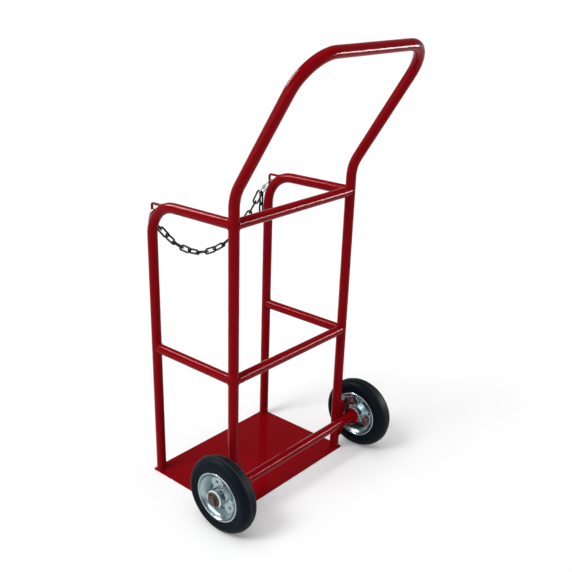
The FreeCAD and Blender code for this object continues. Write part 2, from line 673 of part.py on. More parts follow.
def sleeve_nut(name, pose):
    """The hexagon nut that closes a screw link, on the leg towards the middle of the chain."""
    body = new_body(name)
    leg = "(Sizes.hanger_width + Sizes.hanger_wire) / 2"
    face = new_sketch(body, "hexagon", "YZ_Plane", z="-Sizes.nut_length / 2")
    corner = "(Sizes.nut_flats / sqrt(3))"
    polygon(face, [(f"{leg} + {corner} * cos({angle})", f"{corner} * sin({angle})")
                   for angle in range(0, 360, 60)])
    circle(face, "Sizes.hanger_wire / 2 + Sizes.fit_gap", leg)
    pad(body, face, "Sizes.nut_length")
    body.Placement = pose
    keep(body, name)


def hanging_points(start, end, count, pitch):
    """The joints of a chain of equal links that hangs between two points."""
    run = math.hypot(end.x - start.x, end.y - start.y)
    rise = end.z - start.z
    level = math.sqrt((count * pitch) ** 2 - rise ** 2)
    low, high = run / 50, run * 50
    for _ in range(80):
        curve = (low + high) / 2
        if 2 * curve * math.sinh(run / (2 * curve)) > level:
            low = curve
        else:
            high = curve
    lowest = run / 2 - curve * math.asinh(rise / level)
    first = curve * math.sinh(-lowest / curve)
    base = start.z - curve * (math.cosh(lowest / curve) - 1)
    along = V(end.x - start.x, end.y - start.y, 0) * (1 / run)
    points = []
    for number in range(count + 1):
        share = math.asinh((first + number * pitch) / curve)
        spot = start + along * (lowest + curve * share)
        spot.z = base + curve * (math.cosh(share) - 1)
        points.append(spot)
    return points


def link_run(prefix, joints, rolls):
    """Links from joint to joint, each turned about the run by its own roll."""
    level = V(0, 1, 0)
    for number, (here, there, roll) in enumerate(zip(joints, joints[1:], rolls), 1):
        along = (there - here).normalize()
        turn = math.radians(roll)
        wide = level * math.cos(turn) + along.cross(level) * math.sin(turn)
        long_link(f"{prefix}_{number:02d}", "Sizes.link_wire", "Sizes.link_length", "Sizes.link_width",
                  FreeCAD.Placement((here + there) * 0.5, facing(along, wide)))


def chain_rolls(count):
    """How far each link is turned: a steady twist from the left end, then square crossings."""
    square = int(size("square_links"))
    steps = count - square - 1
    meeting = size("last_roll") + 90 * square
    missing = meeting - size("first_roll") - size("link_twist") * steps
    twist = size("link_twist") + ((missing + 90) % 180 - 90) / steps
    twisted = [size("first_roll") + twist * number for number in range(count - square)]
    return twisted + [size("last_roll") + 90 * number for number in range(square - 1, -1, -1)]


def chain():
    """Two screw links, the links that hang between them and the spare links at the right end."""
    pitch = size("link_length") - size("link_play")
    count = round(size("chain_slack") * size("frame_width") / pitch)
    left = hanger("left", 1)
    right = hanger("right", -1)
    pulls = [left[1], right[1]]
    for _ in range(5):
        ends = [held(hook, size("chain_seat"), pull) for hook, pull in zip((left, right), pulls)]
        joints = hanging_points(*ends, count, pitch)
        pulls = [(joints[1] - joints[0]).normalize(), (joints[-2] - joints[-1]).normalize()]
    link_run("chain_link", joints, chain_rolls(count))
    top = held(right, -size("tail_seat"), V(0, 0, -1))
    numbers = range(int(size("tail_links")) + 1)
    link_run("tail_link", [top - V(0, 0, number * pitch) for number in numbers],
             [size("tail_roll") + size("tail_twist") * number for number in numbers])


def check_and_write():
    DOC.recompute()
    for item in DOC.Objects:
        if "Invalid" in item.State or "Error" in item.State:
            raise RuntimeError(f"{item.Label} failed: {item.State}")
    for item in PIECES:
        if item.Shape.isNull() or not item.Shape.isValid():
            raise RuntimeError(f"{item.Label} has no valid shape")
    os.makedirs("parts", exist_ok=True)
    for item in PIECES:
        item.Shape.exportStep(f"parts/{item.Label}.step")
    print(len(PIECES), "pieces written")


fill_sheet()
base_plate()
rear_hoop()
cross_bar("upper_cross_bar", "Sizes.rail_height")
cross_bar("mid_cross_bar", "Sizes.mid_height")
for WORD, SIDE in (("left", 1), ("right", -1)):
    front_post(f"{WORD}_front_post", SIDE)
    mid_rail(f"{WORD}_mid_rail", SIDE)
    chain_eye(f"{WORD}_chain_eye", SIDE)
    wheel(WORD, SIDE)
axle()
chain()
check_and_write()
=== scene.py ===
import math

import bmesh
import bpy
from bpy.props import FloatProperty, FloatVectorProperty, PointerProperty
from mathutils import Matrix, Quaternion, Vector


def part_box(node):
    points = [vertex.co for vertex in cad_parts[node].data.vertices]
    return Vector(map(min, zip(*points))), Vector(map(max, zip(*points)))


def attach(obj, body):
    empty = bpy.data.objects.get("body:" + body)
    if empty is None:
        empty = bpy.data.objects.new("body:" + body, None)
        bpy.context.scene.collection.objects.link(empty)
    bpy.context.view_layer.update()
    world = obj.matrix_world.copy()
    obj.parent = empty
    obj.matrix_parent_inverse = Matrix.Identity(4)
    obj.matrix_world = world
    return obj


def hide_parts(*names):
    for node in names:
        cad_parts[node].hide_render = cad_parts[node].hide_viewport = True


bl_info = {
    "name": "Gas cylinder trolley",
    "version": (1, 0, 0),
    "blender": (4, 5, 0),
    "location": "View3D > Sidebar > Trolley",
    "description": "Finishes, weld beads, tyres and pressed wheel discs of a gas cylinder trolley",
    "category": "Object",
}

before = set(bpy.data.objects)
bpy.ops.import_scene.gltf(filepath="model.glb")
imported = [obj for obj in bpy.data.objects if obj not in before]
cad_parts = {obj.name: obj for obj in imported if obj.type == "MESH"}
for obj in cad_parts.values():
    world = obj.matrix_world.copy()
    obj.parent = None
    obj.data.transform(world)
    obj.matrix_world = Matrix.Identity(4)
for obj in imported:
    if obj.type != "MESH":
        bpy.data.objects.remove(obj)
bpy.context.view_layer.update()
SIDES = (("left", 1), ("right", -1))


def linear(code):
    """An sRGB hex colour as linear red, green and blue."""
    parts = [int(code[i:i + 2], 16) / 255 for i in (0, 2, 4)]
    return tuple(p / 12.92 if p <= 0.04045 else ((p + 0.055) / 1.055) ** 2.4 for p in parts)


def middle(node):
    """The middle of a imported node's box."""
    low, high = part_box(node)
    return (low + high) / 2


def extent(node):
    """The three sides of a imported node's box."""
    low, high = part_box(node)
    return high - low


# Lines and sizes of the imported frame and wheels
TUBE = extent("upper_cross_bar").z / 2
POST_X = middle("left_front_post").x
FRONT_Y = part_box("left_front_post")[0].y + TUBE
REAR_Y = middle("upper_cross_bar").y
RAIL_Z = middle("upper_cross_bar").z
MID_Z = middle("mid_cross_bar").z
FLOOR_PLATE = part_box("base_plate")[1].z
AXLE = middle("axle_shaft")
WHEEL = extent("left_tyre").z / 2
HALF_TYRE = extent("left_tyre").x / 2
WHEEL_PLANE = middle("left_tyre").x

# How finely pieces are divided. An edge of a disc's section that is over DISC_LONG is cut into
# lengths of about DISC_FINE. Points nearer than MERGE become one.
BEAD_SEGMENTS, BEAD_STEPS, RUN_STEPS = 10, 96, 24
WHEEL_STEPS, SHOULDER_STEPS = 160, 18
DISC_STEPS, BOWL_STEPS, EDGE_STEPS = 400, 28, 12
DISC_LONG, DISC_FINE = 0.004, 0.0007
MERGE = 1e-6
# Angles, in degrees, over which an edge stays sharp
BEAD_SHARP, TYRE_SHARP, DISC_SHARP = 40, 35, 60

# Weld beads: how far they stand off, how their ends taper, and the runs on an axle bracket,
# as shares of its width and height, of the tube's radius and of the bead's radius
BEAD_LIFT = 0.0004
TAPER_LEAST, TAPER_POWER = 0.12, 5
STITCH, STITCH_RISE = 0.030, 0.3
TOP_RUN, FLANK_PLACE = 0.75, 0.44
TUBE_RUN, TUBE_RUN_RISE, TUBE_RUN_OUT = 0.9, 0.58, 0.6

# Section of a pressed disc, from the wheel's middle plane and from the axle's line
HUB_PLAY = 0.00015
HUB = extent("left_hub_tube").z / 2 + HUB_PLAY
BOSS = 0.0085
DISC_FLOOR, DISC_SIDE = 0.005, 0.022
RIM = 0.065
EDGE, EDGE_TURN = 0.0025, -270
EDGE_OUT = RIM - EDGE
EDGE_SIDE = DISC_SIDE - EDGE
BOWL_TURN = 64
BOWL = (EDGE_SIDE - DISC_FLOOR) / (1 - math.cos(math.radians(BOWL_TURN)))
BOWL_FOOT = EDGE_OUT - EDGE - BOWL * math.sin(math.radians(BOWL_TURN))

# Lobes pressed in a disc, and the dimple in each
LOBES = 3
LOBE_TURN = {"left": 8, "right": 18}
LOBE_MIDDLE, LOBE_LONG, LOBE_WIDE = 0.0372, 0.0155, 0.0205
LOBE_DRAFT, LOBE_BLEND = 0.0034, 0.0010
DIMPLE_PLACE, DIMPLE_EDGE, DIMPLE_DEPTH = 0.0400, 0.0021, 0.0070

# Section of a tyre under its shoulders: moulded ring, wall, lip beside the rim, seat and base
RING, RING_SLOPE, RING_STEP = 0.0012, 0.0014, 0.0016
WALL_IN, WALL_FOOT = 0.0018, 0.0722
LIP_IN, LIP_GAP = 0.0036, 0.0007
SEAT_SIDE, SEAT_GAP, SEAT_FOOT = 0.01715, 0.0004, 0.0628
BASE_SIDE, BASE = 0.01024, 0.0570
SOFT_ANGLE, SOFT_WIDTH, SOFT_SEGMENTS = 28, 0.0003, 2

# Levels between which most of a noise pattern lies
NOISE_LOW, NOISE_HIGH = 0.3, 0.7
# Sockets of a Mix node for colours, which shares its socket names with the other kinds
MIX_SHARE, MIX_FROM, MIX_TO, MIX_RESULT = 0, 6, 7, 2
# Distances from a wheel's middle plane between which the zinc darkens to a painted shade deep in
# the dish
SHADE_FROM, SHADE_TO = 0.015, 0.004
# How much pale brown is painted on the rubber, from the shoulders over the crown's edge to its
# top: a painted highlight line at the crown's edge, faint on top
TREAD_DEPTH = 0.004
CROWN_HIGHLIGHT = ((0.0, 0.0), (0.56, 0.0), (0.72, 0.9), (0.86, 0.7), (1.0, 0.1))
# Shade of waxy nylon, grey of rubbed links and shade of the floor's mottle
NYLON_SHADE, CHAIN_RUB, FLOOR_SHADE = 0.86, 0.012, 0.985

# The photograph's viewpoint, from its own straight edges
PHOTO_SIDE = 572
FOCAL_PIXELS = 795.768
LENS_AXIS = (233.106, 337.990)
CAMERA_PLACE = (1.4076, 1.2751, 1.2341)
CAMERA_ANGLES = (133.629, 24.491, 0.195)
SENSOR_WIDTH, LENS_REACH = 36, 400

FLOOR_HALF = 150
FLOOR_GLOW = 0.18
# Greys of the room by height, from the horizon up
ROOM = ((0.0, 1.0), (0.06, 0.88), (0.24, 0.35), (0.70, 0.22), (0.95, 0.45))
LAMP_TARGET = Vector((0, 0.05, 0.5))
# Broad lamps shade the object, and strips are mirrored in its gloss
SHADING, MIRRORED = "shading", "mirrored"
LAMPS = {
    "key_softbox": (SHADING, "SUN", (2.6, -0.5, 3.6),
                    {"energy": 1.72, "angle": math.radians(24)}),
    "top_softbox": (SHADING, "SUN", (0.6, 0.1, 4.5),
                    {"energy": 1.15, "angle": math.radians(56)}),
    "front_strip": (MIRRORED, "AREA", (0.47, -1.0, 1.63),
                    {"energy": 38, "shape": "RECTANGLE", "size": 0.45, "size_y": 0.7}),
    "side_strip": (MIRRORED, "AREA", (-1.27, 1.2, 0.78),
                   {"energy": 54, "shape": "RECTANGLE", "size": 0.9, "size_y": 0.3}),
    "left_softbox": (MIRRORED, "AREA", (1.15, -0.02, 0.78),
                     {"energy": 7.5, "shape": "RECTANGLE", "size": 1.3, "size_y": 0.6}),
}

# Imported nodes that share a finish
ENAMELLED = ["base_plate", "rear_hoop", "upper_cross_bar", "mid_cross_bar", "axle_tube"]
ENAMELLED += [f"{word}_{name}" for word, _ in SIDES
              for name in ("front_post", "mid_rail", "chain_eye", "axle_bracket", "axle_collar")]
NYLON = [f"{word}_{name}" for word, _ in SIDES for name in ("outer_bush", "inner_bush")]
BARE_STEEL = ["axle_shaft"]
BARE_STEEL += [f"{word}_{name}" for word, _ in SIDES for name in ("axle_washer", "split_pin")]
HUB_TUBES = [f"{word}_hub_tube" for word, _ in SIDES]
BLACK_LINKS = [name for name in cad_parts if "_link_" in name]
ZINC_LINKS = [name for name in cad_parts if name.endswith(("_screw_link", "_sleeve_nut"))]


class TrolleySizes(bpy.types.PropertyGroup):
    """Sizes of the details that the finish adds."""
    bead: FloatProperty(
        name="Tube bead", description="Radius of a weld bead between two tubes",
        default=0.0021, unit="LENGTH")
    foot_bead: FloatProperty(
        name="Foot bead", description="Radius of the bead round a post's foot",
        default=0.0026, unit="LENGTH")
    rod_bead: FloatProperty(
        name="Rod bead", description="Radius of the bead round an end of a chain eye",
        default=0.0013, unit="LENGTH")
    ripple: FloatProperty(
        name="Bead ripple", description="Share of a bead's radius that its ripples take",
        default=0.10, subtype="FACTOR")
    ripple_step: FloatProperty(
        name="Ripple step", description="From one ripple of a bead to the next",
        default=0.0026, unit="LENGTH")
    front_bend: FloatProperty(
        name="Front bend", description="Radius of a front post's bend, at its axis",
        default=0.080, unit="LENGTH")
    crown: FloatProperty(
        name="Tread crown", description="Half the width of the tyre's raised crown",
        default=0.0050, unit="LENGTH")
    crown_step: FloatProperty(
        name="Crown step", description="Height of the raised crown over the shoulders",
        default=0.0016, unit="LENGTH")
    shoulder: FloatProperty(
        name="Shoulder", description="Radius of the tyre's shoulders",
        default=0.0173, unit="LENGTH")
    disc_sheet: FloatProperty(
        name="Disc sheet", description="Thickness of a pressed wheel disc",
        default=0.0018, unit="LENGTH")
    lobe_rise: FloatProperty(
        name="Lobe rise", description="Height of a pressed lobe over the disc's floor",
        default=0.0095, unit="LENGTH")
    dimple: FloatProperty(
        name="Dimple", description="Radius of the punched dimple in each lobe",
        default=0.0042, unit="LENGTH")


class TrolleyColours(bpy.types.PropertyGroup):
    """Colours of the finishes."""
    enamel: FloatVectorProperty(
        name="Enamel", description="Red gloss enamel on the frame",
        subtype="COLOR", size=3, min=0, max=1, default=linear("86050F"))
    enamel_deep: FloatVectorProperty(
        name="Thick enamel", description="Where the enamel lies thicker",
        subtype="COLOR", size=3, min=0, max=1, default=linear("7A040D"))
    zinc: FloatVectorProperty(
        name="Zinc", description="Bright zinc plate",
        subtype="COLOR", size=3, min=0, max=1, default=linear("A6B4B7"))
    zinc_dull: FloatVectorProperty(
        name="Dull zinc", description="Zinc plate where it has dulled",
        subtype="COLOR", size=3, min=0, max=1, default=linear("98A7AB"))
    # Painted shade that darkens the zinc deep in a wheel's dish
    zinc_thin: FloatVectorProperty(
        name="Shaded zinc", description="Zinc plate where it is thin, deep in a dish",
        subtype="COLOR", size=3, min=0, max=1, default=linear("5C767E"))
    rubber: FloatVectorProperty(
        name="Rubber", description="Black tyre rubber",
        subtype="COLOR", size=3, min=0, max=1, default=linear("051018"))
    rubber_dust: FloatVectorProperty(
        name="Dusty rubber", description="Rubber with dust in its pores",
        subtype="COLOR", size=3, min=0, max=1, default=linear("0B141B"))
    # Pale brown of the painted highlight line along the tyre's crown edge
    tread: FloatVectorProperty(
        name="Highlighted tread", description="Rubber that has rolled on the floor",
        subtype="COLOR", size=3, min=0, max=1, default=linear("3C3A35"))
    nylon: FloatVectorProperty(
        name="Nylon", description="Natural white nylon",
        subtype="COLOR", size=3, min=0, max=1, default=linear("DDE5E5"))
    steel: FloatVectorProperty(
        name="Bare steel", description="Oiled bare steel",
        subtype="COLOR", size=3, min=0, max=1, default=linear("6B625E"))
    steel_brown: FloatVectorProperty(
        name="Browned steel", description="Bare steel where it has browned",
        subtype="COLOR", size=3, min=0, max=1, default=linear("4A3E39"))
    chain: FloatVectorProperty(
        name="Chain", description="Black coating of the chain",
        subtype="COLOR", size=3, min=0, max=1, default=linear("0A0B0C"))
    floor: FloatVectorProperty(
        name="Floor", description="Pale studio floor",
        subtype="COLOR", size=3, min=0, max=1, default=linear("E4E4E4"))


def add(tree, kind, inputs=None, **settings):
    """A new node with its settings, and with its inputs set or linked."""
    node = tree.nodes.new(kind)
    for name, value in settings.items():
        setattr(node, name, value)
    for name, value in (inputs or {}).items():
        if isinstance(value, bpy.types.NodeSocket):
            tree.links.new(value, node.inputs[name])
        else:
            node.inputs[name].default_value = value
    return node


def set_stops(ramp, levels):
    """Gives a ramp its greys, each at its place."""
    ramp.color_ramp.interpolation = "EASE"
    stops = ramp.color_ramp.elements
    while len(stops) < len(levels):
        stops.new(0.5)
    for stop, (place, grey) in zip(stops, levels):
        stop.position = place
        stop.color = (grey, grey, grey, 1)


# Orange peel, plating and mould grain, tool and saw marks and the chain's skin are finer on the
# real thing and wouldn't show. They are drawn 1.1 to 3.5 mm wide, as coarse as they need to be.
def per_mm(millimetres):
    """The scale at which a noise pattern's grains are about that wide."""
    return 1000 / millimetres


def blank(name):
    """An empty material, its node tree, and its object's own coordinates."""
    finish = bpy.data.materials.new(name)
    finish.use_nodes = True
    tree = finish.node_tree
    tree.nodes.clear()
    return finish, tree, add(tree, "ShaderNodeTexCoord").outputs["Object"]


def gloss_enamel(colours):
    """Sprayed gloss enamel on steel: an even deep red, with a faint orange peel that softens
    reflections."""
    finish, tree, place = blank("gloss_enamel")
    tone = add(tree, "ShaderNodeTexNoise", {"Vector": place, "Scale": per_mm(70), "Detail": 3.0})
    peel = add(tree, "ShaderNodeTexNoise", {"Vector": place, "Scale": per_mm(3.5), "Detail": 1.0})
    haze = add(tree, "ShaderNodeTexNoise", {"Vector": place, "Scale": per_mm(22), "Detail": 4.0})
    shine = add(tree, "ShaderNodeMapRange", {
        "Value": haze.outputs["Fac"], "From Min": NOISE_LOW, "From Max": NOISE_HIGH,
        "To Min": 0.10, "To Max": 0.16})
    bumps = add(tree, "ShaderNodeBump", {
        "Height": peel.outputs["Fac"], "Strength": 0.025, "Distance": 0.0006})
    colour = add(tree, "ShaderNodeMix", {
        MIX_SHARE: tone.outputs["Fac"], MIX_FROM: (*colours.enamel, 1),
        MIX_TO: (*colours.enamel_deep, 1)}, data_type="RGBA").outputs[MIX_RESULT]
    shader = add(tree, "ShaderNodeBsdfPrincipled", {
        "Base Color": colour, "Roughness": shine.outputs["Result"],
        "Normal": bumps.outputs["Normal"],
        "Specular IOR Level": 0.06, "Specular Tint": (1.0, 0.40, 0.42, 1)})
    add(tree, "ShaderNodeOutputMaterial", {"Surface": shader.outputs[0]})
    return finish


def zinc_plate(colours):
    """Bright zinc plate on pressed steel: a bluish metal, clouded, and with a painted shade that
    darkens it deep in a dish."""
    finish, tree, place = blank("zinc_plate")
    cloud = add(tree, "ShaderNodeTexNoise", {"Vector": place, "Scale": per_mm(40), "Detail": 2.0})
    grain = add(tree, "ShaderNodeTexNoise", {"Vector": place, "Scale": per_mm(2.2), "Detail": 3.0})
    shine = add(tree, "ShaderNodeMapRange", {
        "Value": cloud.outputs["Fac"], "From Min": NOISE_LOW, "From Max": NOISE_HIGH,
        "To Min": 0.20, "To Max": 0.26})
    bumps = add(tree, "ShaderNodeBump", {
        "Height": grain.outputs["Fac"], "Strength": 0.015, "Distance": 0.0003})
    colour = add(tree, "ShaderNodeMix", {
        MIX_SHARE: cloud.outputs["Fac"], MIX_FROM: (*colours.zinc, 1),
        MIX_TO: (*colours.zinc_dull, 1)}, data_type="RGBA").outputs[MIX_RESULT]
    # Painted shade: the zinc darkens to teal towards the wheel's middle plane, deep in the dish
    across = add(tree, "ShaderNodeSeparateXYZ", {"Vector": place}).outputs["X"]
    across = add(tree, "ShaderNodeMath", {0: across}, operation="ABSOLUTE").outputs[0]
    depth = add(tree, "ShaderNodeMath", {0: across, 1: WHEEL_PLANE},
                operation="SUBTRACT").outputs[0]
    depth = add(tree, "ShaderNodeMath", {0: depth}, operation="ABSOLUTE").outputs[0]
    shaded = add(tree, "ShaderNodeMapRange", {
        "Value": depth, "From Min": SHADE_FROM, "From Max": SHADE_TO},
        interpolation_type="SMOOTHSTEP")
    colour = add(tree, "ShaderNodeMix", {
        MIX_SHARE: shaded.outputs["Result"], MIX_FROM: colour,
        MIX_TO: (*colours.zinc_thin, 1)}, data_type="RGBA").outputs[MIX_RESULT]
    shader = add(tree, "ShaderNodeBsdfPrincipled", {
        "Base Color": colour, "Metallic": 1.0, "Roughness": shine.outputs["Result"],
        "Normal": bumps.outputs["Normal"]})
    add(tree, "ShaderNodeOutputMaterial", {"Surface": shader.outputs[0]})
    return finish


def moulded_rubber(colours):
    """Moulded solid rubber: satin black with a fine grain from the mould, dusty, and with a pale
    brown painted highlight line along the crown's edge, faint over its top."""
    finish, tree, place = blank("moulded_rubber")
    dust = add(tree, "ShaderNodeTexNoise", {"Vector": place, "Scale": per_mm(28), "Detail": 5.0})
    grain = add(tree, "ShaderNodeTexNoise", {"Vector": place, "Scale": per_mm(1.6), "Detail": 3.0})
    patches = add(tree, "ShaderNodeMapRange", {
        "Value": dust.outputs["Fac"], "From Min": 0.45, "From Max": 0.75})
    shine = add(tree, "ShaderNodeMapRange", {
        "Value": dust.outputs["Fac"], "From Min": NOISE_LOW, "From Max": NOISE_HIGH,
        "To Min": 0.42, "To Max": 0.6})
    bumps = add(tree, "ShaderNodeBump", {
        "Height": grain.outputs["Fac"], "Strength": 0.12, "Distance": 0.0003})
    # Painted highlight: a pale brown line along the crown's edge, fading to a faint tint on top
    offset = add(tree, "ShaderNodeVectorMath", {0: place, 1: AXLE}, operation="SUBTRACT")
    across = add(tree, "ShaderNodeVectorMath", {0: offset.outputs[0], 1: (0, 1, 1)},
                 operation="MULTIPLY")
    radius = add(tree, "ShaderNodeVectorMath", {0: across.outputs[0]}, operation="LENGTH")
    level = add(tree, "ShaderNodeMapRange", {
        "Value": radius.outputs["Value"], "From Min": WHEEL - TREAD_DEPTH, "From Max": WHEEL})
    tread = add(tree, "ShaderNodeValToRGB", {"Fac": level.outputs["Result"]})
    set_stops(tread, CROWN_HIGHLIGHT)
    colour = add(tree, "ShaderNodeMix", {
        MIX_SHARE: patches.outputs["Result"], MIX_FROM: (*colours.rubber, 1),
        MIX_TO: (*colours.rubber_dust, 1)}, data_type="RGBA").outputs[MIX_RESULT]
    colour = add(tree, "ShaderNodeMix", {
        MIX_SHARE: tread.outputs["Color"], MIX_FROM: colour,
        MIX_TO: (*colours.tread, 1)}, data_type="RGBA").outputs[MIX_RESULT]
    shader = add(tree, "ShaderNodeBsdfPrincipled", {
        "Base Color": colour, "Roughness": shine.outputs["Result"],
        "Normal": bumps.outputs["Normal"], "Specular IOR Level": 0.06})
    add(tree, "ShaderNodeOutputMaterial", {"Surface": shader.outputs[0]})
    return finish


def natural_nylon(colours):
    """Natural nylon, turned from bar: a waxy white that lets a little light in, with faint tool
    marks."""
    finish, tree, place = blank("natural_nylon")
    wax = add(tree, "ShaderNodeTexNoise", {"Vector": place, "Scale": per_mm(9), "Detail": 3.0})
    marks = add(tree, "ShaderNodeTexNoise", {"Vector": place, "Scale": per_mm(1.2), "Detail": 2.0})
    shine = add(tree, "ShaderNodeMapRange", {
        "Value": wax.outputs["Fac"], "From Min": NOISE_LOW, "From Max": NOISE_HIGH,
        "To Min": 0.36, "To Max": 0.5})
    bumps = add(tree, "ShaderNodeBump", {
        "Height": marks.outputs["Fac"], "Strength": 0.08, "Distance": 0.0002})
    shade = tuple(NYLON_SHADE * part for part in colours.nylon)
    colour = add(tree, "ShaderNodeMix", {
        MIX_SHARE: wax.outputs["Fac"], MIX_FROM: (*colours.nylon, 1),
        MIX_TO: (*shade, 1)}, data_type="RGBA").outputs[MIX_RESULT]
    shader = add(tree, "ShaderNodeBsdfPrincipled", {
        "Base Color": colour, "Roughness": shine.outputs["Result"],
        "Normal": bumps.outputs["Normal"],
        "IOR": 1.53, "Subsurface Weight": 0.15, "Subsurface Scale": 0.002})
    add(tree, "ShaderNodeOutputMaterial", {"Surface": shader.outputs[0]})
    return finish


def bare_steel(colours):
    """Bare mild steel, sawn and oiled: a dull brownish grey with darker stains."""
    finish, tree, place = blank("bare_steel")
    stain = add(tree, "ShaderNodeTexNoise", {"Vector": place, "Scale": per_mm(7), "Detail": 5.0})
    saw = add(tree, "ShaderNodeTexNoise", {"Vector": place, "Scale": per_mm(1.1), "Detail": 2.0})
    shine = add(tree, "ShaderNodeMapRange", {
        "Value": stain.outputs["Fac"], "From Min": NOISE_LOW, "From Max": NOISE_HIGH,
        "To Min": 0.38, "To Max": 0.62})
    bumps = add(tree, "ShaderNodeBump", {
        "Height": saw.outputs["Fac"], "Strength": 0.15, "Distance": 0.0003})
    colour = add(tree, "ShaderNodeMix", {
        MIX_SHARE: stain.outputs["Fac"], MIX_FROM: (*colours.steel, 1),
        MIX_TO: (*colours.steel_brown, 1)}, data_type="RGBA").outputs[MIX_RESULT]
    shader = add(tree, "ShaderNodeBsdfPrincipled", {
        "Base Color": colour, "Metallic": 0.7, "Roughness": shine.outputs["Result"],
        "Normal": bumps.outputs["Normal"]})
    add(tree, "ShaderNodeOutputMaterial", {"Surface": shader.outputs[0]})
    return finish


def black_coating(colours):
    """Black dipped coating on steel chain: satin, slightly uneven, and greyer where links have
    rubbed."""
    finish, tree, place = blank("black_coating")
    rub = add(tree, "ShaderNodeTexNoise", {"Vector": place, "Scale": per_mm(5), "Detail": 4.0})
    skin = add(tree, "ShaderNodeTexNoise", {"Vector": place, "Scale": per_mm(1.4), "Detail": 2.0})
    worn = add(tree, "ShaderNodeMapRange", {
        "Value": rub.outputs["Fac"], "From Min": 0.55, "From Max": 0.8})
    shine = add(tree, "ShaderNodeMapRange", {
        "Value": rub.outputs["Fac"], "From Min": NOISE_LOW, "From Max": NOISE_HIGH,
        "To Min": 0.34, "To Max": 0.5})
    bumps = add(tree, "ShaderNodeBump", {
        "Height": skin.outputs["Fac"], "Strength": 0.12, "Distance": 0.0003})
    grey = tuple(part + CHAIN_RUB for part in colours.chain)
    colour = add(tree, "ShaderNodeMix", {
        MIX_SHARE: worn.outputs["Result"], MIX_FROM: (*colours.chain, 1),
        MIX_TO: (*grey, 1)}, data_type="RGBA").outputs[MIX_RESULT]
    shader = add(tree, "ShaderNodeBsdfPrincipled", {
        "Base Color": colour, "Roughness": shine.outputs["Result"],
        "Normal": bumps.outputs["Normal"], "Specular IOR Level": 0.14})
    add(tree, "ShaderNodeOutputMaterial", {"Surface": shader.outputs[0]})
    return finish


def made(maker, context):
    """A maker's finish, which has the maker's name, made on its first use."""
    return bpy.data.materials.get(maker.__name__) or maker(context.scene.trolley_colours)


def coat_nodes(names, finish):
    """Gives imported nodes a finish."""
    for name in names:
        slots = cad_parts[name].data.materials
        slots.clear()
        slots.append(finish)


def outward(bm):
    """Merges a mesh's doubles and turns its faces outwards."""
    bmesh.ops.remove_doubles(bm, verts=bm.verts, dist=MERGE)
    bmesh.ops.recalc_face_normals(bm, faces=bm.faces)


def piece(name, bm, finish, body, sharp):
    """Makes a mesh a piece that rides on a body, smooth but for its sharp edges."""
    mesh = bpy.data.meshes.new(name)
    bm.to_mesh(mesh)
    bm.free()
    mesh.shade_smooth()
    mesh.set_sharp_from_angle(angle=math.radians(sharp))
    mesh.materials.append(finish)
    thing = bpy.data.objects.new(name, mesh)
    bpy.context.scene.collection.objects.link(thing)
    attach(thing, body)
    return thing


def hoop(bm, section, matrix):
    """A bead's round section: its vertices and its edges."""
    verts = bmesh.ops.create_circle(bm, segments=BEAD_SEGMENTS, radius=section,
                                    matrix=matrix)["verts"]
    return verts, list(dict.fromkeys(edge for vert in verts for edge in vert.link_edges))


def new_verts(bm, count):
    """The vertices that were added after the first ones."""
    return list(bm.verts)[count:]


def rippled(sizes, phase):
    """The share of its radius that a bead has at a phase of its ripples."""
    return 1 - sizes.ripple * (0.5 + 0.5 * math.cos(phase))


def ring_bead(bm, sizes, start, along, radius, section, landing):
    """A rippled weld bead round a bar. landing says how far along each side meets the other
    surface."""
    count = len(bm.verts)
    side = along.orthogonal().normalized()
    across = along.cross(side)
    turn = Matrix((along, side, across)).transposed().to_4x4()
    verts, edges = hoop(bm, section, Matrix.Translation(start + side * radius) @ turn)
    bmesh.ops.spin(bm, geom=verts + edges, cent=start, axis=along, angle=math.tau,
                   steps=BEAD_STEPS, use_merge=True)
    ripples = round(math.tau * radius / sizes.ripple_step)
    for vert in new_verts(bm, count):
        offset = vert.co - start
        level = offset.dot(along)
        bearing = (offset - along * level).normalized()
        core = bearing * radius
        angle = math.atan2(bearing.dot(across), bearing.dot(side))
        swell = rippled(sizes, ripples * angle)
        vert.co = start + core + along * landing(core) + (offset - core) * swell


def run_bead(bm, sizes, length, section, place):
    """A rippled weld bead with tapered ends, made along X and then put in its place point by
    point."""
    count = len(bm.verts)
    turn = Matrix.Translation((-length / 2, 0, 0)) @ Matrix.Rotation(math.pi / 2, 4, "Y")
    _, edges = hoop(bm, section, turn)
    bmesh.ops.edgeloop_fill(bm, edges=edges)
    for _ in range(RUN_STEPS):
        grown = bmesh.ops.extrude_edge_only(bm, edges=edges)["geom"]
        verts = [item for item in grown if isinstance(item, bmesh.types.BMVert)]
        bmesh.ops.translate(bm, verts=verts, vec=(length / RUN_STEPS, 0, 0))
        edges = [item for item in grown
                 if isinstance(item, bmesh.types.BMEdge) and item.is_boundary]
    bmesh.ops.edgeloop_fill(bm, edges=edges)
    for vert in new_verts(bm, count):
        share = abs(2 * vert.co.x / length)
        taper = max(TAPER_LEAST, 1 - share ** TAPER_POWER) ** 0.5
        swell = taper * rippled(sizes, math.tau * vert.co.x / sizes.ripple_step)
        vert.co = place(vert.co.x, vert.co.y * swell, vert.co.z * swell)


def coped(along, crossing=None):
    """How far from a post's axis a bar's sides meet the post, or the rail that crosses on one
    side."""
    side = along.cross(Vector((0, 0, 1)))

    def landing(core):
        beside = core.dot(side)
        reach = math.sqrt(max(0, TUBE ** 2 - beside ** 2))
        if crossing is not None and core.dot(crossing) > 0:
            reach = max(reach, math.sqrt(max(0, TUBE ** 2 - core.z ** 2)))
        return reach + BEAD_LIFT
    return landing


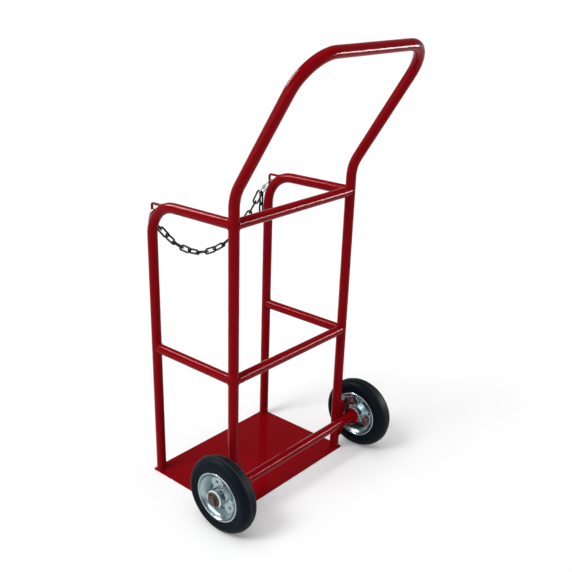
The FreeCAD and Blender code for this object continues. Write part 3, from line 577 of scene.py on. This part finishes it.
def on_bend(sizes, start, along):
    """How far along a rod's line its sides meet the outside of the front bend."""
    heart = Vector((start.x, FRONT_Y + sizes.front_bend, RAIL_Z - sizes.front_bend))

    def landing(core):
        point = start + core - heart
        outer = sizes.front_bend + math.sqrt(TUBE ** 2 - core.x ** 2)
        level = point.dot(along)
        beside = point - along * level
        return math.sqrt(outer ** 2 - beside.y ** 2 - beside.z ** 2) - level
    return landing


def traced(bm, place, way, start, moves):
    """A profile of straight moves to a point, and of turns about a point by an angle in some
    steps."""
    point = bm.verts.new(place(*start))
    for move in moves:
        if len(move) == 2:
            point = bmesh.ops.extrude_vert_indiv(bm, verts=[point])["verts"][0]
            point.co = place(*move)
        else:
            across, out, degrees, steps = move
            turned = bmesh.ops.spin(bm, geom=[point], cent=place(across, out), axis=(0, 1, 0),
                                    angle=way * math.radians(degrees), steps=steps)
            point = next(item for item in turned["geom_last"]
                         if isinstance(item, bmesh.types.BMVert))


def spun(bm, heart, steps):
    """Turns the traced profile right round the axle's line."""
    bmesh.ops.spin(bm, geom=bm.verts[:] + bm.edges[:], cent=heart, axis=(1, 0, 0),
                   angle=math.tau, steps=steps, use_merge=True)


def eased(value):
    """0 below 0, 1 above 1, and smooth between."""
    value = min(1, max(0, value))
    return value * value * (3 - 2 * value)


class TROLLEY_OT_stage(bpy.types.Operator):
    """Camera, pale floor, studio lamps and surroundings"""
    bl_idname = "trolley.stage"
    bl_label = "Stage"

    def execute(self, context):
        scene = context.scene
        scene.view_settings.view_transform = "Standard"
        self.camera(scene)
        self.floor(context)
        self.surroundings(scene)
        for name, (role, kind, place, settings) in LAMPS.items():
            lamp = bpy.data.lights.new(name, kind)
            for key, value in settings.items():
                setattr(lamp, key, value)
            holder = bpy.data.objects.new(name, lamp)
            holder.location = place
            holder.rotation_mode = "QUATERNION"
            holder.rotation_quaternion = (LAMP_TARGET - holder.location).to_track_quat("-Z", "Y")
            holder.visible_glossy = role == MIRRORED
            holder.visible_diffuse = role == SHADING
            scene.collection.objects.link(holder)
        return {"FINISHED"}

    def camera(self, scene):
        """The photograph's own viewpoint, with its frame off the lens axis."""
        lens = bpy.data.cameras.new("camera")
        lens.sensor_width = SENSOR_WIDTH
        lens.lens = lens.sensor_width * FOCAL_PIXELS / PHOTO_SIDE
        lens.shift_x = 0.5 - LENS_AXIS[0] / PHOTO_SIDE
        lens.shift_y = LENS_AXIS[1] / PHOTO_SIDE - 0.5
        lens.clip_end = LENS_REACH
        holder = bpy.data.objects.new("camera", lens)
        holder.location = CAMERA_PLACE
        azimuth, elevation, roll = (math.radians(angle) for angle in CAMERA_ANGLES)
        level = math.cos(elevation)
        ahead = Vector((-math.sin(azimuth) * level, math.cos(azimuth) * level,
                        -math.sin(elevation)))
        holder.rotation_mode = "QUATERNION"
        holder.rotation_quaternion = (ahead.to_track_quat("-Z", "Y")
                                      @ Quaternion((0, 0, 1), roll))
        scene.collection.objects.link(holder)
        scene.camera = holder

    def floor(self, context):
        """A wide matt floor, faintly mottled as painted board is."""
        finish, tree, place = blank("painted_floor")
        mottle = add(tree, "ShaderNodeTexNoise", {
            "Vector": place, "Scale": per_mm(400), "Detail": 2.0})
        pale = context.scene.trolley_colours.floor
        shade = tuple(FLOOR_SHADE * part for part in pale)
        colour = add(tree, "ShaderNodeMix", {
            MIX_SHARE: mottle.outputs["Fac"], MIX_FROM: (*pale, 1),
            MIX_TO: (*shade, 1)}, data_type="RGBA").outputs[MIX_RESULT]
        paint = add(tree, "ShaderNodeBsdfDiffuse", {"Color": colour})
        ray = add(tree, "ShaderNodeLightPath").outputs
        seen = ray["Is Camera Ray"]
        for kind in ("Is Glossy Ray", "Is Transmission Ray"):
            seen = add(tree, "ShaderNodeMath", {0: seen, 1: ray[kind]},
                       operation="MAXIMUM").outputs[0]
        lift = add(tree, "ShaderNodeMath", {0: seen, 1: FLOOR_GLOW}, operation="MULTIPLY")
        glow = add(tree, "ShaderNodeEmission", {"Strength": lift.outputs[0]})
        shader = add(tree, "ShaderNodeAddShader", {0: paint.outputs[0], 1: glow.outputs[0]})
        add(tree, "ShaderNodeOutputMaterial", {"Surface": shader.outputs[0]})
        bm = bmesh.new()
        bmesh.ops.create_grid(bm, x_segments=1, y_segments=1, size=FLOOR_HALF)
        mesh = bpy.data.meshes.new("floor")
        bm.to_mesh(mesh)
        bm.free()
        mesh.materials.append(finish)
        board = bpy.data.objects.new("floor", mesh)
        context.scene.collection.objects.link(board)

    def surroundings(self, scene):
        """A studio room: white low down, darker walls above and a paler ceiling."""
        world = bpy.data.worlds.new("studio_room")
        world.use_nodes = True
        tree = world.node_tree
        tree.nodes.clear()
        way = add(tree, "ShaderNodeTexCoord").outputs["Generated"]
        height = add(tree, "ShaderNodeSeparateXYZ", {"Vector": way}).outputs["Z"]
        ramp = add(tree, "ShaderNodeValToRGB", {"Fac": height})
        set_stops(ramp, ROOM)
        light = add(tree, "ShaderNodeBackground", {
            "Color": ramp.outputs["Color"], "Strength": 1.0})
        add(tree, "ShaderNodeOutputWorld", {"Surface": light.outputs[0]})
        scene.world = world


class TROLLEY_OT_frame_enamel(bpy.types.Operator):
    """Red gloss enamel on the plate, tubes, brackets, collars and chain eyes"""
    bl_idname = "trolley.frame_enamel"
    bl_label = "Frame enamel"

    def execute(self, context):
        coat_nodes(ENAMELLED, made(gloss_enamel, context))
        return {"FINISHED"}


class TROLLEY_OT_weld_beads(bpy.types.Operator):
    """Weld beads at every joint of the frame, under the same enamel"""
    bl_idname = "trolley.weld_beads"
    bl_label = "Weld beads"

    def execute(self, context):
        sizes = context.scene.trolley_sizes
        makers = (("bar_beads", self.bars), ("rail_beads", self.rails), ("foot_beads", self.feet),
                  ("axle_beads", self.axle), ("eye_beads", self.eyes))
        for name, maker in makers:
            bm = bmesh.new()
            for word, side in SIDES:
                maker(bm, sizes, word, side)
            outward(bm)
            piece(name, bm, made(gloss_enamel, context), "frame", BEAD_SHARP)
        return {"FINISHED"}

    def bars(self, bm, sizes, word, side):
        """Cross bars on the rear posts."""
        along = Vector((-side, 0, 0))
        for height in (RAIL_Z, MID_Z):
            start = Vector((side * POST_X, REAR_Y, height))
            ring_bead(bm, sizes, start, along, TUBE, sizes.bead,
                      coped(along, Vector((0, -1, 0))))

    def rails(self, bm, sizes, word, side):
        """Side rails on the posts."""
        for y, height, way in ((REAR_Y, RAIL_Z, -1), (REAR_Y, MID_Z, -1), (FRONT_Y, MID_Z, 1)):
            along = Vector((0, way, 0))
            ring_bead(bm, sizes, Vector((side * POST_X, y, height)), along, TUBE, sizes.bead,
                      coped(along))

    def feet(self, bm, sizes, word, side):
        """Posts on the base plate."""
        for y in (FRONT_Y, REAR_Y):
            ring_bead(bm, sizes, Vector((side * POST_X, y, FLOOR_PLATE)), Vector((0, 0, 1)),
                      TUBE + BEAD_LIFT, sizes.foot_bead, lambda core: BEAD_LIFT)

    def axle(self, bm, sizes, word, side):
        """A bracket on its post, the axle tube on the bracket, and a collar on the axle tube."""
        low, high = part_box(f"{word}_axle_bracket")
        wide, tall = high.x - low.x, high.z - low.z
        post = side * POST_X
        reach = TUBE + BEAD_LIFT

        def over_bracket(x, y, z):
            angle = x / reach
            return (post + (reach + y) * math.sin(angle), REAR_Y + (reach + y) * math.cos(angle),
                    high.z + BEAD_LIFT + z)
        run_bead(bm, sizes, TOP_RUN * wide, sizes.bead, over_bracket)
        flank = FLANK_PLACE * wide
        gap = (math.sqrt(TUBE ** 2 - flank ** 2) + low.y - REAR_Y) / 2
        for way in (1, -1):
            run_bead(bm, sizes, STITCH, sizes.foot_bead, lambda x, y, z: (
                post + way * flank + z, REAR_Y + gap + y, low.z + STITCH_RISE * tall + x))
            run_bead(bm, sizes, TUBE_RUN * wide, sizes.bead, lambda x, y, z: (
                post + x, high.y + TUBE_RUN_OUT * sizes.bead + y,
                AXLE.z + way * TUBE_RUN_RISE * TUBE + z))
        inside = min(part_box(f"{word}_axle_collar"), key=lambda corner: abs(corner.x)).x
        ring_bead(bm, sizes, Vector((inside, AXLE.y, AXLE.z)), Vector((-side, 0, 0)),
                  reach, sizes.bead, lambda core: BEAD_LIFT)

    def eyes(self, bm, sizes, word, side):
        """Both ends of a chain eye on the front bend."""
        low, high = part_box(f"{word}_chain_eye")
        rod = (high.x - low.x) / 2
        heart = Vector((side * POST_X, FRONT_Y + sizes.front_bend, RAIL_Z - sizes.front_bend))
        for along, start in ((Vector((0, 0, 1)), Vector((heart.x, low.y + rod, heart.z))),
                             (Vector((0, -1, 0)), Vector((heart.x, heart.y, high.z - rod)))):
            ring_bead(bm, sizes, start, along, rod + BEAD_LIFT, sizes.rod_bead,
                      on_bend(sizes, start, along))


class TROLLEY_OT_tyres(bpy.types.Operator):
    """Solid tyres with a raised crown, round shoulders and moulded rings on their sides"""
    bl_idname = "trolley.tyres"
    bl_label = "Tyres"

    def execute(self, context):
        sizes = context.scene.trolley_sizes
        for word, _ in SIDES:
            heart = middle(f"{word}_tyre")
            bm = bmesh.new()
            traced(bm, lambda x, out: heart + Vector((x, 0, out)), 1, (0, WHEEL),
                   self.profile(sizes))
            spun(bm, heart, WHEEL_STEPS)
            bmesh.ops.mirror(bm, geom=bm.verts[:] + bm.edges[:] + bm.faces[:],
                             matrix=Matrix.Translation(-heart), axis="X", merge_dist=MERGE)
            outward(bm)
            tyre = piece(f"{word}_rubber_tyre", bm, made(moulded_rubber, context),
                         f"{word}_wheel", TYRE_SHARP)
            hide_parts(f"{word}_tyre")
            soft = tyre.modifiers.new("soft_edges", "BEVEL")
            soft.limit_method = "ANGLE"
            soft.angle_limit = math.radians(SOFT_ANGLE)
            soft.width = SOFT_WIDTH
            soft.segments = SOFT_SEGMENTS
        return {"FINISHED"}

    def profile(self, sizes):
        """Half of the section, from the middle of the crown over one side to the base."""
        shoulder = HALF_TYRE - sizes.shoulder
        low = WHEEL - sizes.crown_step - sizes.shoulder
        return [(sizes.crown, WHEEL), (shoulder, WHEEL - sizes.crown_step),
                (shoulder, low, 90, SHOULDER_STEPS), (HALF_TYRE, low - RING),
                (HALF_TYRE - RING_STEP, low - RING - RING_SLOPE),
                (HALF_TYRE - WALL_IN, WALL_FOOT), (HALF_TYRE - LIP_IN, RIM + LIP_GAP),
                (SEAT_SIDE, RIM + SEAT_GAP), (SEAT_SIDE, SEAT_FOOT), (BASE_SIDE, BASE), (0, BASE)]


class TROLLEY_OT_wheel_discs(bpy.types.Operator):
    """Pressed zinc-plated discs with a rolled edge and raised lobes, and the zinc hub tubes"""
    bl_idname = "trolley.wheel_discs"
    bl_label = "Wheel discs"

    def execute(self, context):
        sizes = context.scene.trolley_sizes
        finish = made(zinc_plate, context)
        coat_nodes(HUB_TUBES, finish)
        for word, side in SIDES:
            for place, way in (("outer", side), ("inner", -side)):
                node = f"{word}_{place}_disc"
                bm = self.pressing(sizes, middle(f"{word}_tyre"), way, LOBE_TURN[word])
                disc = piece(f"{word}_{place}_pressing", bm, finish, f"{word}_wheel",
                             DISC_SHARP)
                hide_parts(node)
        return {"FINISHED"}

    def pressing(self, sizes, heart, way, turn):
        """One disc, open towards way: boss round the hub, floor, round bowl and rolled edge."""
        bm = bmesh.new()
        traced(bm, lambda x, out: heart + Vector((way * x, 0, out)), way,
               (DISC_FLOOR + BOSS, HUB), [
                   (DISC_FLOOR, BOWL_FOOT),
                   (DISC_FLOOR + BOWL, BOWL_FOOT, BOWL_TURN, BOWL_STEPS),
                   (EDGE_SIDE, EDGE_OUT, EDGE_TURN, EDGE_STEPS)])
        for edge in [edge for edge in bm.edges if edge.calc_length() > DISC_LONG]:
            bmesh.ops.subdivide_edges(bm, edges=[edge],
                                      cuts=round(edge.calc_length() / DISC_FINE) - 1)
        spun(bm, heart, DISC_STEPS)
        for vert in bm.verts:
            vert.co.x += way * self.raised(sizes, vert.co - heart, way, turn)
        outward(bm)
        facing = sum(face.normal.x * face.calc_area() for face in bm.faces)
        if facing * way < 0:
            bmesh.ops.reverse_faces(bm, faces=bm.faces)
        bmesh.ops.solidify(bm, geom=bm.faces[:], thickness=sizes.disc_sheet)
        return bm

    def raised(self, sizes, offset, way, turn):
        """How far the lobes lift a point of the disc, less the dimple punched into each. The
        first lobe points turn degrees on from straight up."""
        out = math.hypot(offset.y, offset.z)
        if out > EDGE_OUT - 2 * EDGE:
            return 0
        pitch = math.tau / LOBES
        angle = math.atan2(offset.z, offset.y) - math.radians(90 + turn)
        angle -= pitch * round(angle / pitch)
        along, aside = out * math.cos(angle), out * math.sin(angle)
        inside = LOBE_LONG * (1 - math.hypot((along - LOBE_MIDDLE) / LOBE_LONG,
                                             aside / LOBE_WIDE))
        lift = sizes.lobe_rise * eased(inside / LOBE_DRAFT + 0.5)
        lift -= way * offset.x - DISC_FLOOR
        if lift > LOBE_BLEND:
            rise = lift
        else:
            rise = max(0, lift + LOBE_BLEND) ** 2 / (4 * LOBE_BLEND)
        reach = math.hypot(along - DIMPLE_PLACE, aside)
        return rise - DIMPLE_DEPTH * eased((sizes.dimple - reach) / DIMPLE_EDGE)


class TROLLEY_OT_hub_bushes(bpy.types.Operator):
    """White nylon bushes in the hubs"""
    bl_idname = "trolley.hub_bushes"
    bl_label = "Hub bushes"

    def execute(self, context):
        coat_nodes(NYLON, made(natural_nylon, context))
        return {"FINISHED"}


class TROLLEY_OT_axle_fittings(bpy.types.Operator):
    """Bare steel axle bar, washers and split pins"""
    bl_idname = "trolley.axle_fittings"
    bl_label = "Axle fittings"

    def execute(self, context):
        coat_nodes(BARE_STEEL, made(bare_steel, context))
        return {"FINISHED"}


class TROLLEY_OT_chain(bpy.types.Operator):
    """Black chain on zinc-plated screw links"""
    bl_idname = "trolley.chain"
    bl_label = "Chain"

    def execute(self, context):
        coat_nodes(BLACK_LINKS, made(black_coating, context))
        coat_nodes(ZINC_LINKS, made(zinc_plate, context))
        return {"FINISHED"}


OPERATORS = (
    TROLLEY_OT_stage, TROLLEY_OT_frame_enamel, TROLLEY_OT_weld_beads, TROLLEY_OT_tyres,
    TROLLEY_OT_wheel_discs, TROLLEY_OT_hub_bushes, TROLLEY_OT_axle_fittings, TROLLEY_OT_chain)


class TROLLEY_PT_panel(bpy.types.Panel):
    """Lists the trolley's makers and their sizes and colours"""
    bl_idname = "TROLLEY_PT_panel"
    bl_label = "Trolley"
    bl_space_type = "VIEW_3D"
    bl_region_type = "UI"
    bl_category = "Trolley"

    def draw(self, context):
        for maker in OPERATORS:
            self.layout.operator(maker.bl_idname)
        for group in (context.scene.trolley_sizes, context.scene.trolley_colours):
            for name in group.__annotations__:
                self.layout.prop(group, name)


CLASSES = (TrolleySizes, TrolleyColours, *OPERATORS, TROLLEY_PT_panel)


def register():
    for item in CLASSES:
        bpy.utils.register_class(item)
    bpy.types.Scene.trolley_sizes = PointerProperty(type=TrolleySizes)
    bpy.types.Scene.trolley_colours = PointerProperty(type=TrolleyColours)


def unregister():
    del bpy.types.Scene.trolley_colours
    del bpy.types.Scene.trolley_sizes
    for item in reversed(CLASSES):
        bpy.utils.unregister_class(item)


def main():
    """Registers the add-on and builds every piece."""
    register()
    for maker in OPERATORS:
        group, name = maker.bl_idname.split(".")
        getattr(getattr(bpy.ops, group), name)()


if __name__ == "__main__":
    main()
